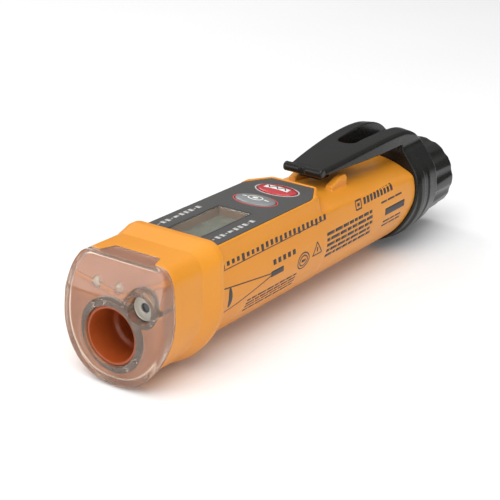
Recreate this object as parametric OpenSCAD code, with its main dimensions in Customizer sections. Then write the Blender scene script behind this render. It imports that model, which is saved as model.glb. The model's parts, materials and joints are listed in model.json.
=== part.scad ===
// Pen-type non contact voltage tester with a built-in infrared thermometer.
// The modules use the seam frame: X from nose to tail with 0 at the collar's
// rear face, Y across, Z up with 0 on the display overlay. seat() moves the
// finished tester so that its origin is the bottom centre of its bounding box.

/* [Body] */
// Length from the collar's rear face to the body's rear shoulder
body_len = 127.6; // [127.2:0.1:128]
// Half width of the body at its widest level
body_half_w = 16.2; // [16.1:0.1:16.3]
// Depth of the body below the display overlay
body_depth = 32.0; // [31.8:0.1:32.3]
// Thickness of the moulded walls
wall = 1.8; // [1.7:0.1:1.9]

/* [Nose] */
// Length of the nose in front of the collar's rear face
nose_len = 27.7; // [27.5:0.1:27.9]
// Half width of the nose in front of the collar
nose_half_w = 16.6; // [16.5:0.1:16.7]
// How far the collar's rim stands out of the nose
collar_rise = 1.0; // [0.8:0.1:1.1]
// Radius of the round sighting opening
sight_r = 7.4; // [7.2:0.1:7.5]

/* [Display and buttons] */
// Half width of the display overlay
panel_half_w = 12.4; // [12.3:0.1:12.5]
// Length of the display overlay
panel_len = 60.2; // [60:0.1:60.4]
// How far each button travels
press = 0.6; // [0.4:0.1:0.7]
// Half length of a button, across the body
button_a = 6.7; // [6.5:0.1:6.8]
// Half width of a button, along the body
button_b = 4.1; // [3.9:0.1:4.2]

/* [Battery cap] */
// Radius over the cap's grip ribs
cap_r = 13.7; // [13.6:0.1:13.9]
// Number of grip ribs around the cap
cap_ribs = 12; // [10:1:14]
// Lead of the cap's thread
pitch = 1.5; // [1.4:0.1:1.6]

/* [Clip] */
// Height of the clip's crown above the overlay
clip_top = 7.4; // [7.2:0.1:7.7]
// Thickness of the clip's plate
clip_t = 2.2; // [2:0.1:2.4]

/* [Hidden] */
$fn = 64;

// Levels and stations that the pieces share
rest_z = -34.6;                     // lowest level of the tester, under the collar
axis_z = -17.8;                     // axis of the cells, the neck and the cap
sight_z = -19.9;                    // axis of the sighting opening
cap_x = body_len + 0.3;             // front face of the cap
tail_x = cap_x + 20.3;              // rear face of the cap
mid_x = (tail_x - nose_len) / 2;    // middle of the tester's length
rim_z = 0.4;                        // body's rim around the overlay
overlay_t = 0.8;
deck_z = -2.4;                      // underside of the deck that carries the overlay
tongue_in = 1.9;                    // how far the body's tongue steps in under the nose

lens_x = -21.4;                     // rear edge of the clear lens
tab_x = -16.8;                      // rear edge of the lens's top tab
tab_half_w = 7.3;
lens_t = 1.5;
crease_z = -9.6;                    // where the sloping visor meets the front face
visor_angle = 68;
lens_tube_r = 10.2;                 // clear ring around the sighting opening
barrel_r = sight_r + 0.9;
laser_y = -9.2;
laser_z = -10.2;
laser_r = 3.6;
led_y = [-0.5, 6.5];
led_z = -7.2;

chamfer_x = 51.2;                   // where the overlay's rear corners begin
panel_end_half_w = 7.5;
wing_x = 54.5;                      // where the platform's full width ends
window_x = [2.9, 28.5];
window_half_w = 5.55;
ir_x = 39.2;
ncv_x = 51.1;
button_gap = 0.25;

board_z = -10.4;                    // top face of the circuit board
board_t = 1.2;
board_x = [-6, 79];
board_half_w = 11.5;
board_under = board_z - board_t;
lcd_z = -3.3;                       // face of the liquid crystal panel
screw_at = [[34.2, 10], [34.2, -10], [62, 9], [62, -9]];
switch_h = 3.4;
plunger_r = 1.7;
plunger_z = board_z + switch_h + 0.65;

cell_r = 5.25;
cell_len = 44.5;
cell_y = 5.35;
cell_bore_r = 5.4;
cell_x = [body_len - 42.1, body_len + 2.4];
bay_x = cell_x[0] - 3.4;            // front wall of the battery bay
ring_x = [113.4, body_len - 0.2];   // the clip's ring
ring_seat = 1.3;                    // how far the body steps in under the ring
neck_r = 11.5;                      // core of the threaded neck
crest_r = 11.9;
neck_x = body_len + 7.2;
cap_bore_r = 12.05;
carrier_x = neck_x - 1.2;           // front face of the contact carrier
stub_r = 2;
stub_gap = 0.05;

tip_x = 66.2;                       // centre of the clip's tip bar
tip_z = 2.0;
slot_x = 93;                        // centre of the slot's rounded front end
clip_half_w = 9.2;
hinge_x = 117;                      // the clip bends about this line
hinge_z = 3.5;
hinge_r = 3;
bend_gap = 0.3;

orange = [0.93, 0.60, 0.22];
black = [0.16, 0.155, 0.15];
metal = [0.75, 0.75, 0.72];

// ---- points and forms that several modules use ----
function unit(v) = v / norm(v);
function bezier(p, c, q, k) =
    [for (i = [0:k]) let (t = i / k) (1 - t) * (1 - t) * p + 2 * t * (1 - t) * c + t * t * q];
function corner(p, c, q, r) = bezier(c + r * unit(p - c), c, c + r * unit(q - c), 3);

// Shield section: flat top to half width a at level zt, shoulder at [b, zs],
// widest at [w, zw], below it a superellipse of power n down to level zb
function shield(a, zt, b, zs, w, zw, zb, n, ra = 1, rb = 2) =
    let (h = concat(corner([0, zt], [a, zt], [b, zs], ra),
                    corner([a, zt], [b, zs], [w, zw], rb),
                    [for (i = [0:11]) let (t = 90 * i / 12)
                        [w * pow(cos(t), 2 / n), zw - (zw - zb) * pow(sin(t), 2 / n)]]))
    concat(h, [[0, zb]], [for (i = [len(h) - 1:-1:0]) [-h[i][0], h[i][1]]]);

// Skin over a row of sections, each [x, points]
module loft(rows) {
    n = len(rows[0][1]);
    last = len(rows) - 1;
    skin = [for (i = [0:last - 1]) for (j = [0:n - 1]) let (a = i * n + j, b = i * n + (j + 1) % n)
        each [[a, b, a + n], [b, b + n, a + n]]];
    polyhedron([for (r = rows) for (p = r[1]) [r[0], p[0], p[1]]],
               concat(skin, [[for (j = [n - 1:-1:0]) j], [for (j = [0:n - 1]) last * n + j]]));
}
// Straight bar of one section from x[0] to x[1]
module bar(x, points) {
    translate([x[0], 0, 0]) rotate([90, 0, 90]) linear_extrude(x[1] - x[0]) polygon(points);
}
module rod(x, r, y = 0, z = axis_z) {
    translate([x[0], y, z]) rotate([0, 90, 0]) cylinder(h = x[1] - x[0], r = r);
}
module post(x, y, z, r) {
    translate([x, y, z[0]]) cylinder(h = z[1] - z[0], r = r);
}
module block(x, y, z) {
    translate([x[0], y[0], z[0]]) cube([x[1] - x[0], y[1] - y[0], z[1] - z[0]]);
}
module oval(x, z, grow = 0) {
    translate([x, 0, z[0]]) linear_extrude(z[1] - z[0])
        polygon([for (i = [0:35]) [(button_b + grow) * cos(10 * i), (button_a + grow) * sin(10 * i)]]);
}
module seat() {
    translate([-mid_x, 0, -rest_z]) children();
}

// ---- outer forms; d moves every face inwards, for the inside of a shell ----
function nose_section(w, zt, a, zb, n, d) =
    shield(a - 0.4 * d, zt - d, w - 1.5 - d, zt - 3.6 - 0.6 * d, w - d, -13, zb + d, n, 1.4, 1.8);
module nose_form(d = 0) {
    w = nose_half_w;
    rim = w + collar_rise;
    loft([[-nose_len + d, nose_section(w - 1.1, -0.6, 11.2, -33.2, 2.3, d)],
          [-nose_len + 1.5 + d, nose_section(w, 0.4, 12, -34.2, 2.3, d)],
          [lens_x, nose_section(w, 0.6, 12, -34.1, 2.2, d)],
          [-7.5, nose_section(w - 0.1, 0.6, 12, -33.6, 2, d)],
          [-5.2, nose_section(w + 0.1 * collar_rise, 0.8, 12.1, -33.6, 2, d)],
          [-3.6, nose_section(w + 0.5 * collar_rise, 1.5, 12.4, -34.1, 1.95, d)],
          [-2.4, nose_section(rim, 1.9, 12.8, rest_z, 1.9, d)],
          [-0.8, nose_section(rim, 1.9, 12.8, rest_z, 1.9, d)],
          [0, nose_section(rim - 0.25, 1.6, 12.6, rest_z + 0.25, 1.9, d)]]);
}
function front_section(d, zt = rim_z) =
    shield(13.1 - d, zt - d, 14 - d, -4 - 0.8 * d, body_half_w - d, -12, -body_depth + d, 2, 0.8, 1.6);
function rear_section(zt, zs, d) =
    shield(4.5 - 0.3 * d, zt - d, 15 - d, zs - 0.6 * d, body_half_w - d, -12,
           -body_depth + d, 2, 2, 1.6);
module panel_plan(grow) {
    half = panel_half_w + grow;
    polygon([[-grow, -half], [chamfer_x + 1.2 * grow, -half],
             [panel_len + grow, -panel_end_half_w - 0.6 * grow],
             [panel_len + grow, panel_end_half_w + 0.6 * grow],
             [chamfer_x + 1.2 * grow, half], [-grow, half]]);
}
module body_form(x1) {
    loft([[0, rear_section(-2, -5, 0)], [62, rear_section(-2.2, -5.4, 0)],
          [x1, rear_section(-3.2, -7.6, 0)]]);
    intersection() {
        bar([0, 63], front_section(0));
        translate([0, 0, -40]) linear_extrude(50) {
            panel_plan(0.9);
            translate([-1, -20]) square([wing_x + 1, 40]);
        }
    }
}
// Everything in front of the lens's rear edge
module lens_zone(play = 0) {
    block([-nose_len - 9, lens_x + play], [-30, 30], [-40, 10]);
    block([-nose_len - 9, tab_x + play], [-tab_half_w - play, tab_half_w + play], [-6, 10]);
}
// Everything above the sloping visor, sunk by depth
module above_visor(depth = 0) {
    translate([-nose_len, 0, crease_z]) rotate([0, -visor_angle, 0])
        translate([-20, -30, -depth]) cube([60, 60, 30]);
}

// ---- nose ----
module nose_lens() {
    color([0.86, 0.74, 0.70, 0.45]) difference() {
        union() {
            difference() {
                intersection() {
                    nose_form();
                    lens_zone();
                }
                above_visor();
                difference() {
                    nose_form(lens_t);
                    above_visor(lens_t);
                }
            }
            rod([-nose_len - 0.6, lens_x], lens_tube_r, 0, sight_z);
            rod([-nose_len - 0.2, lens_x], laser_r + 1.4, laser_y, laser_z);
        }
        rod([-nose_len - 2, 0], barrel_r + 0.05, 0, sight_z);
        rod([-nose_len - 2, 0], laser_r + 0.1, laser_y, laser_z);
    }
}
module nose_housing() {
    color(orange) difference() {
        union() {
            difference() {
                nose_form();
                lens_zone(0.05);
            }
            difference() {
                intersection() {
                    nose_form(lens_t + 0.1);
                    block([-nose_len, lens_x + 1], [-30, 30], [-40, 10]);
                }
                above_visor(lens_t + 0.6);
            }
        }
        bar([lens_x + 2, 1], nose_section(nose_half_w, 0.6, 12, -33.6, 2, wall));
        rod([-nose_len - 2, 0], lens_tube_r + 0.1, 0, sight_z);
        rod([-nose_len - 2, 0], laser_r + 1.5, laser_y, laser_z);
        for (y = led_y) rod([-nose_len, 0], 1.6, y, led_z);
        bar([-5.45, -4.15], front_section(0.85, 0));
    }
}
module nose_seal() {
    color([0.12, 0.12, 0.12]) difference() {
        bar([-5.4, -4.2], front_section(0.9, 0));
        bar([-6, -4], front_section(tongue_in, 0));
    }
}
module ir_barrel() {
    color([0.85, 0.42, 0.12]) difference() {
        rod([-nose_len + 0.2, -8.5], barrel_r, 0, sight_z);
        rod([-nose_len - 1, -13.4], sight_r, 0, sight_z);
        rod([-14, -8], 4.7, 0, sight_z);
    }
}
module ir_filter() {
    color([0.10, 0.09, 0.12]) rod([-13.3, -12.5], 4.65, 0, sight_z);
}
module ir_sensor() {
    color(metal) {
        difference() {
            rod([-12.4, -9.2], 4.1, 0, sight_z);
            rod([-13, -12], 2.2, 0, sight_z);
        }
        rod([-9.2, -8.6], 4.6, 0, sight_z);
        for (a = [45:90:315]) rod([-8.7, -6.2], 0.23, 2.5 * cos(a), sight_z + 2.5 * sin(a));
    }
}
module laser_module() {
    color(metal) difference() {
        rod([-nose_len + 2.2, -11], laser_r, laser_y, laser_z);
        rod([-nose_len, -21.5], 1.35, laser_y, laser_z);
        rod([-13, -10], 2.85, laser_y, laser_z);
    }
}
module laser_diode() {
    color([0.78, 0.62, 0.28]) {
        rod([-12.9, -11.5], 2.8, laser_y, laser_z);
        for (a = [90:120:330]) rod([-11.6, -8.5], 0.22, laser_y + 1.3 * cos(a), laser_z + 1.3 * sin(a));
    }
}
module indicator_leds() {
    color([0.80, 0.86, 0.80]) for (y = led_y) translate([0, y, led_z]) {
        translate([-21.3, 0, 0]) sphere(r = 1.5, $fn = 32);
        rotate([0, 90, 0]) translate([0, 0, -21.3]) cylinder(h = 3.3, r = 1.5);
        rotate([0, 90, 0]) translate([0, 0, -18.1]) cylinder(h = 0.8, r = 1.9);
    }
}
module sensing_antenna() {
    color([0.80, 0.50, 0.25]) {
        block([-18.9, -1.2], [-5, 5], [-3.4, -3]);
        block([-1.6, -1.2], [-2, 2], [board_z, -3.2]);
    }
}

// ---- body ----
module neck() {
    rod([body_len, neck_x], neck_r);
    for (x = [body_len + 2.9:pitch:neck_x - 0.9]) translate([x, 0, axis_z]) rotate([0, 90, 0])
        rotate_extrude() polygon([[neck_r - 0.5, -0.1], [neck_r, -0.1], [crest_r, 0.35],
                                  [neck_r, 0.8], [neck_r - 0.5, 0.8]]);
}
module body_shell() {
    color(orange) difference() {
        union() {
            body_form(ring_x[0]);
            bar([-6, 1], front_section(tongue_in, 0));
            loft([[ring_x[0] - 1, rear_section(-3.2, -7.6, ring_seat)],
                  [body_len, rear_section(-3.4, -7.9, ring_seat)]]);
            neck();
            for (s = [-1, 1]) tip_lug(s);
        }
        panel_recess();
        bar([-7, 2], front_section(tongue_in + 1, deck_z + tongue_in + 1));
        bar([1.5, 61], front_section(wall, deck_z + wall));
        bar([60, bay_x - 2], rear_section(-2.2, -7, wall));
        cell_bores();
        rod([neck_x - 3.4, neck_x + 1], 10.8);
        block([body_len - 0.5, neck_x + 1], [-1.35, 1.35], [axis_z + 5.4, axis_z + 8.4]);
        translate([body_len + 1.1, 0, axis_z]) rotate([0, 90, 0]) oring(0.62);
    }
    color(orange) for (p = screw_at) difference() {
        post(p[0], p[1], [board_z, deck_z + 0.3], 2.3);
        post(p[0], p[1], [board_z - 1, deck_z - 1], 1);
    }
}
module panel_recess() {
    translate([0, 0, -overlay_t]) linear_extrude(3) panel_plan(0);
    block([window_x[0] - 0.8, window_x[1] + 0.8], [-window_half_w - 0.8, window_half_w + 0.8],
          [-4, 1]);
    for (x = [ir_x, ncv_x]) oval(x, [-4, 1], button_gap);
}
module cell_bores() {
    for (s = [-1, 1]) rod([bay_x, neck_x + 1], cell_bore_r, s * cell_y);
}
// Ramp that the clip's tip rides over
module tip_lug(s) {
    translate([0, s * 6.7 + 1.3, 0]) rotate([90, 0, 0]) linear_extrude(2.6)
        polygon([[70.5, -4], [71, -1.9], [75.5, -0.5], [79.4, -0.3], [79.8, -4]]);
}
module display_overlay() {
    color([0.30, 0.30, 0.30]) difference() {
        translate([0, 0, -overlay_t]) linear_extrude(overlay_t) panel_plan(-0.05);
        block(window_x, [-window_half_w, window_half_w], [-2, 1]);
        for (x = [ir_x, ncv_x]) oval(x, [-2, 1], button_gap);
    }
}
module display_window() {
    color([0.55, 0.52, 0.48, 0.5])
        block([window_x[0] + 0.05, window_x[1] - 0.05],
              [-window_half_w + 0.05, window_half_w - 0.05], [-overlay_t, -0.1]);
}
module lcd_frame() {
    color([0.72, 0.58, 0.46]) difference() {
        union() {
            block([1, 30.5], [-8.2, 8.2], [lcd_z - 2.4, deck_z - 0.05]);
            block([window_x[0] - 0.7, window_x[1] + 0.7],
                  [-window_half_w - 0.7, window_half_w + 0.7], [deck_z - 0.1, -overlay_t - 0.05]);
        }
        block([window_x[0] + 0.2, window_x[1] - 0.2], [-window_half_w + 0.2, window_half_w - 0.2],
              [-9, 1]);
        block([1.8, 29.7], [-7.3, 7.3], [-9, lcd_z]);
    }
}
module lcd_panel() {
    color([0.60, 0.63, 0.55]) block([1.9, 29.6], [-7.2, 7.2], [lcd_z - 2, lcd_z]);
}
module lcd_connectors() {
    color([0.25, 0.25, 0.27]) for (s = [-1, 1])
        block([3.5, 28], [s * 6 - 0.9, s * 6 + 0.9], [board_z, lcd_z - 2]);
}
module button(x, tint) {
    color(tint) {
        oval(x, [deck_z - 0.05, 0.5]);
        oval(x, [0.5, 0.8], -0.5);
        oval(x, [deck_z - 0.95, deck_z - 0.05], 0.9);
        post(x, 0, [plunger_z, deck_z - 0.9], 1.5);
    }
}
module plunger(x) {
    color([0.25, 0.22, 0.22]) post(x, 0, [board_z + 1.5, plunger_z], plunger_r);
}
module switch_cases() {
    color([0.35, 0.35, 0.36]) for (x = [ir_x, ncv_x]) difference() {
        block([x - 3, x + 3], [-3, 3], [board_z, board_z + switch_h]);
        post(x, 0, [board_z + 1.5 - press - 0.2, 0], plunger_r + 0.05);
    }
}

// ---- electronics ----
module main_board() {
    color([0.10, 0.38, 0.20]) difference() {
        block(board_x, [-board_half_w, board_half_w], [board_under, board_z]);
        for (p = screw_at) post(p[0], p[1], [-20, 0], 1.1);
    }
}
module controller_chip() {
    color(black) block([14, 23], [-4.5, 4.5], [board_under - 1.4, board_under]);
    color(metal) for (s = [-1, 1]) for (i = [0:7])
        block([15.2 + i * 0.9, 15.6 + i * 0.9], [s * 5 - 0.5, s * 5 + 0.5],
              [board_under - 0.3, board_under]);
}
module amplifier_chip() {
    color(black) block([42, 47], [-2, 2], [board_under - 1.4, board_under]);
    color(metal) for (s = [-1, 1]) for (i = [0:3])
        block([42.6 + i * 1.2, 43 + i * 1.2], [s * 2.5 - 0.5, s * 2.5 + 0.5],
              [board_under - 0.3, board_under]);
}
module chip_parts() {
    color([0.62, 0.50, 0.36]) for (i = [0:5]) {
        block([28 + 2.4 * i, 29.6 + 2.4 * i], [5, 5.9], [board_under - 0.7, board_under]);
        block([28 + 2.4 * i, 29.6 + 2.4 * i], [-6.4, -5.5], [board_under - 0.7, board_under]);
    }
}
module buzzer() {
    color([0.12, 0.12, 0.12]) difference() {
        post(70, 0, [board_under - 4, board_under], 4.8);
        post(70, 0, [board_under - 5, board_under - 2.5], 0.8);
    }
}
module board_screws() {
    color(metal) for (p = screw_at) {
        post(p[0], p[1], [board_under - 0.1, -6.6], 0.98);
        difference() {
            post(p[0], p[1], [board_under - 1.5, board_under], 1.9);
            for (a = [0, 90]) translate([p[0], p[1], board_under - 1.5]) rotate([0, 0, a])
                cube([2.4, 0.5, 1.4], center = true);
        }
    }
}

// ---- battery bay ----
// Wire coil along X from x[0] to x[1], coned from radius r0 to r1
module coil(x, y, r0, r1, turns, wire = 0.35) {
    steps = turns * 18;
    rings = [for (i = [0:steps]) let (t = i / steps, a = 360 * turns * t, r = r0 + (r1 - r0) * t)
        [for (j = [0:5]) let (b = 60 * j, q = r + wire * cos(b))
            [x[0] + wire + (x[1] - x[0] - 2 * wire) * t + wire * sin(b), y + q * cos(a),
             axis_z + q * sin(a)]]];
    skin = [for (i = [0:steps - 1]) for (j = [0:5]) let (a = 6 * i + j, b = 6 * i + (j + 1) % 6)
        each [[a, b, a + 6], [b, b + 6, a + 6]]];
    polyhedron([for (g = rings) each g],
               concat(skin, [[5, 4, 3, 2, 1, 0], [for (j = [0:5]) 6 * steps + j]]));
}
module front_contact_plate() {
    color(metal) {
        block([bay_x + 0.05, bay_x + 0.45], [cell_y - 3.2, cell_y + 3.2], [axis_z - 3, axis_z + 3]);
        rod([bay_x + 0.4, cell_x[0] - 0.02], 2.2, cell_y);
    }
}
module front_contact_spring() {
    color(metal) {
        block([bay_x + 0.05, bay_x + 0.45], [-cell_y - 3.2, -cell_y + 3.2],
              [axis_z - 3, axis_z + 3]);
        coil([bay_x + 0.4, cell_x[0] - 0.02], -cell_y, 3.6, 2, 3);
    }
}
// A cell whose terminal nub points to the nose (s = -1) or the tail (s = 1)
module cell(s) {
    can = s < 0 ? [cell_x[0] + 1, cell_x[1]] : [cell_x[0], cell_x[1] - 1];
    nub = s < 0 ? [cell_x[0], cell_x[0] + 1.1] : [cell_x[1] - 1.1, cell_x[1]];
    color([0.20, 0.34, 0.55]) rod(can, cell_r, -s * cell_y);
    color(metal) rod(nub, 1.9, -s * cell_y);
}
module contact_carrier() {
    color([0.85, 0.83, 0.76]) {
        rod([carrier_x, carrier_x + 3], 10.4);
        rod([carrier_x + 2.9, carrier_x + 7], stub_r);
        block([carrier_x - 4, carrier_x + 0.1], [-1.15, 1.15], [axis_z + 5.6, axis_z + 8.2]);
    }
}
module contact_strap() {
    color(metal) {
        block([carrier_x - 0.45, carrier_x - 0.02], [-8.4, 8.4], [axis_z - 2.6, axis_z + 2.6]);
        rod([cell_x[1] + 0.05, carrier_x - 0.4], 1.8, -cell_y);
    }
}
module contact_spring() {
    color(metal) coil([cell_x[1] + 0.05, carrier_x - 0.46], cell_y, 2, 3.6, 3);
}
module oring(r) {
    rotate_extrude() translate([neck_r - 0.07, 0]) circle(r = r, $fn = 24);
}
module cap_oring() {
    color([0.10, 0.10, 0.10]) translate([body_len + 1.1, 0, axis_z]) rotate([0, 90, 0]) oring(0.5);
}
module battery_cap() {
    grip_x = cap_x + 3.2;
    color(black) translate([0, 0, axis_z]) rotate([0, 90, 0]) difference() {
        rotate_extrude() polygon([[0, cap_x], [cap_r, cap_x], [cap_r, tail_x - 2.2],
                                  [cap_r - 0.5, tail_x - 0.9], [cap_r - 1.6, tail_x], [0, tail_x]]);
        translate([0, 0, cap_x - 1]) cylinder(h = 11.6, r = cap_bore_r);
        difference() {
            translate([0, 0, cap_x + 10]) cylinder(h = 7.3, r = cap_bore_r - 1);
            translate([0, 0, carrier_x + 3.3]) cylinder(h = 20, r = 4.2);
        }
        translate([0, 0, carrier_x + 3]) cylinder(h = 4.4, r = stub_r + stub_gap);
        for (i = [0:cap_ribs - 1]) rotate([0, 0, 360 * (i + 0.5) / cap_ribs])
            translate([cap_r + 2.3, 0, grip_x]) cylinder(h = 30, r = 3.2, $fn = 32);
    }
}

// ---- clip ----
function ring_section(w, zb) =
    shield(9.4, 0.9, w - 0.8, -8.2, w, -13, zb, 2, 2, 2.2);
// The clip's outline: level of its side edges and its half width, along X
clip_edge = concat(bezier([tip_x + 1, clip_top - 4.2], [97, clip_top - 0.6], [110, clip_top - 1], 8),
                   bezier([110, clip_top - 1], [122, clip_top - 1.1], [128.3, 0.2], 8));
clip_plan = concat(bezier([tip_x + 1, 6], [92, clip_half_w], [110, clip_half_w], 8),
                   [[129, clip_half_w]]);
function clip_section(x, low) =
    let (z = lookup(x, clip_edge), w = lookup(x, clip_plan))
    [[-w, low], [-w, z - 0.1], [-w + 1, z + 0.4], [-3, z + 0.8],
     [3, z + 0.8], [w - 1, z + 0.4], [w, z - 0.1], [w, low]];
module clip_form(x0, x1, low) {
    difference() {
        loft([for (i = [0:12]) let (x = x0 + (x1 - x0) * i / 12) [x, clip_section(x, low)]]);
        translate([0, 0, low - 1]) linear_extrude(20) polygon(clip_slot());
    }
}
function clip_slot() =
    concat([for (a = [90:15:270]) [slot_x + 3 * cos(a), 3.2 * sin(a)]],
           [[108, -4.1], [130, -4.1], [130, 4.1], [108, 4.1]]);
module clip_hollow() {
    loft([for (i = [0:9]) let (x = 76 + 30 * i / 9, w = lookup(x, clip_plan) - clip_t,
                               z = lookup(x, clip_edge) + 0.6 - clip_t)
             [x, [[-w, 0], [-w, z], [w, z], [w, 0]]]]);
}
module hinge_rod(grow) {
    translate([hinge_x, 15, hinge_z]) rotate([90, 0, 0]) cylinder(h = 30, r = hinge_r + grow);
}
module clip_arm() {
    color(black) {
        difference() {
            clip_form(tip_x + 1, hinge_x, 1.8);
            clip_hollow();
        }
        intersection() {
            clip_form(hinge_x - 4, hinge_x + 4, -2);
            hinge_rod(0);
        }
        translate([tip_x, 7, tip_z]) rotate([90, 0, 0]) cylinder(h = 14, r = 1.6);
        block([tip_x, tip_x + 4], [-5.8, 5.8], [1.8, 3.2]);
        block([tip_x + 3.5, tip_x + 9], [-4, 4], [-0.8, 3]);
    }
}
module clip_ring() {
    color(black) {
        difference() {
            loft([[ring_x[0], ring_section(body_half_w + 0.9, -32.6)],
                  [ring_x[0] + 1.4, ring_section(body_half_w + 1.5, -33)],
                  [ring_x[1] - 1.6, ring_section(body_half_w + 1.7, -33.4)],
                  [ring_x[1], ring_section(body_half_w + 1.1, -33)]]);
            loft([[ring_x[0] - 2, rear_section(-3.2, -7.6, ring_seat - 0.1)],
                  [ring_x[1] + 2, rear_section(-3.4, -7.9, ring_seat - 0.1)]]);
            hinge_rod(bend_gap);
        }
        difference() {
            clip_form(hinge_x + bend_gap, 128.4, -1.2);
            hinge_rod(bend_gap);
        }
    }
}

seat() nose_lens();
seat() nose_housing();
seat() nose_seal();
seat() ir_barrel();
seat() ir_filter();
seat() ir_sensor();
seat() laser_module();
seat() laser_diode();
seat() indicator_leds();
seat() sensing_antenna();
seat() body_shell();
seat() display_overlay();
seat() display_window();
seat() lcd_frame();
seat() lcd_panel();
seat() lcd_connectors();
seat() button(ir_x, [0.55, 0.56, 0.56]);  // ir_button
seat() button(ncv_x, [0.72, 0.13, 0.15]);  // ncv_button
seat() plunger(ir_x);  // ir_plunger
seat() plunger(ncv_x);  // ncv_plunger
seat() switch_cases();
seat() main_board();
seat() controller_chip();
seat() amplifier_chip();
seat() chip_parts();
seat() buzzer();
seat() board_screws();
seat() front_contact_plate();
seat() front_contact_spring();
seat() cell(-1);  // battery_cell_1
seat() cell(1);  // battery_cell_2
seat() contact_carrier();
seat() contact_strap();
seat() contact_spring();
seat() battery_cap();
seat() cap_oring();
seat() clip_ring();
seat() clip_arm();
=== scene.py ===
import json
import math

import bmesh
import bpy
import numpy as np
from mathutils import Matrix, Vector


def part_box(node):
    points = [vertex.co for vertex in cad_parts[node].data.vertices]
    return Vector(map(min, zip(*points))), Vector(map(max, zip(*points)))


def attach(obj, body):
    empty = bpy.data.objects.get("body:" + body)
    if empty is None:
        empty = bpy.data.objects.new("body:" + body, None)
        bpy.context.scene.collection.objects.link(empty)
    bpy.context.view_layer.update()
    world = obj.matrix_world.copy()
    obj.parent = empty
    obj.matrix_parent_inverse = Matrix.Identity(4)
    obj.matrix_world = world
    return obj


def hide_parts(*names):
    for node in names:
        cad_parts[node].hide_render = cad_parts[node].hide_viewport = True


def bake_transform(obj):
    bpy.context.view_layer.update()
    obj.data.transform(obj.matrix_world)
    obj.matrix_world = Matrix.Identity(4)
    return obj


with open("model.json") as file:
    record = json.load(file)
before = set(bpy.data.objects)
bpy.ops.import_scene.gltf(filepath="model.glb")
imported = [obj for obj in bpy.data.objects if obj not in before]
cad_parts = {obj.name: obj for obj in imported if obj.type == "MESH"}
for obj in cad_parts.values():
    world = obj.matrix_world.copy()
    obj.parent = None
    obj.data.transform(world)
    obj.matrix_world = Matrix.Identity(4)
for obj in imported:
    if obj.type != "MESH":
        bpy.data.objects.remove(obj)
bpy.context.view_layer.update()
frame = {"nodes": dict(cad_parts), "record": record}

# Pieces are drawn in millimetres in the seam frame: X from nose to tail with 0 at the
# collar's rear face, Y across, Z up with 0 on the display overlay.
MM = 0.001
OVERLAY_LOW, OVERLAY_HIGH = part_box("display_overlay")
OVERLAY_GAP = 0.05                  # between the overlay's edge and its recess
SEAM = Vector((OVERLAY_LOW.x - OVERLAY_GAP * MM, 0, OVERLAY_HIGH.z))


def seam_box(node):
    """A CAD node's lowest and highest corner, in millimetres in the seam frame."""
    low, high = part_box(node)
    return (low - SEAM) / MM, (high - SEAM) / MM


def seam_centre(node):
    """The centre of a CAD node's box, in millimetres in the seam frame."""
    low, high = seam_box(node)
    return [(a + b) / 2 for a, b in zip(low, high)]


# body
BODY_HALF_W = seam_box("body_shell")[1].y
BODY_LEVEL = -12                    # where the body is widest
BELLY_Z = -32                       # underside of the body
OVERLAY_T = 0.8
DECK_Z = -2.4                       # underside of the deck that carries the overlay
PANEL_HALF_W = seam_box("display_overlay")[1].y + OVERLAY_GAP
PANEL_END = seam_box("display_overlay")[1].x + OVERLAY_GAP
PANEL_CUT_X = 51.2                  # where the overlay's rear corners begin
PANEL_CUT_Y = 7.5                   # where they end, on the rear edge
TUBE_X = 62                         # where the body begins to taper towards the tail
LUG_X = (70.4, 79.6)                # the ramps under the clip's tip, along the body
LUG_Y = (5.4, 8.0)                  # and to each side
PARTING_Z = -25.6                   # level of the mould's parting line

# battery bay, neck and cap
CAP_GAP = 0.3                       # between the body's rear face and the cap
BODY_END = seam_box("battery_cap")[0].x - CAP_GAP
NECK_END = seam_box("body_shell")[1].x
TAIL_END = seam_box("battery_cap")[1].x
CAP_R = seam_box("battery_cap")[1].y
CAP_BORE_R = 12.05
CAP_FLUTES = 12
AXIS_Z = seam_centre("battery_cap")[2]
NECK_R = 11.5
THREAD_PITCH = 1.5
THREAD_H = 0.42
CELL_Y = 5.35                       # a cell's distance from the middle plane
CELL_BORE_R = 5.4

# nose and lens
NOSE_HALF_W = 16.6
COLLAR_SWELL = 1.2                  # how far the collar stands out on each side
NOSE_X = seam_box("ir_barrel")[0].x - 0.2
LENS_X = seam_box("lcd_frame")[0].x - 22.4
SIGHT_Z = seam_centre("ir_barrel")[2]
SIGHT_R = 8.4                       # opening in the lens for the barrel
SIGHT_RING_R = 10.2                 # ring around that opening
LASER_Y, LASER_Z = seam_centre("laser_module")[1:]
LASER_R = 3.75                      # opening in the lens for the laser
LASER_BOSS_R = 5.1                  # boss around that opening
NOSE_BORE_END = -18                 # rear end of the laser's and the LEDs' holes
NOSE_BORE_GAP = 0.15                # between the lens's ring or boss and its hole in the nose
LED_FLANGE_R = 1.75
LED_BORE_R = 1.6
LED_Y = (seam_box("indicator_leds")[0].y + LED_FLANGE_R, seam_box("indicator_leds")[1].y - LED_FLANGE_R)
LED_Z = seam_centre("indicator_leds")[2]
VISOR_ANGLE = math.radians(68)
VISOR_FOOT_Z = -9.6                 # where the visor's slope meets the nose's front plane
LENS_WALL = 1.25
LENS_GAP = 0.07                     # between the lens and the nose inside it

# display and buttons
WINDOW_LOW, WINDOW_HIGH = seam_box("display_window")
IR_X = seam_centre("ir_button")[0]
NCV_X = seam_centre("ncv_button")[0]
KEY_RX, KEY_RY = 4.1, 6.7           # half length and half width of a button
KEY_GAP = 0.25                      # between a button and its hole in the deck
OVERLAY_KEY_GAP = 0.22              # between a button and its hole in the overlay
LABEL_Y = 9.3                       # middle of the rows of bars beside the window
STEM_R = 1.5

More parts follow.
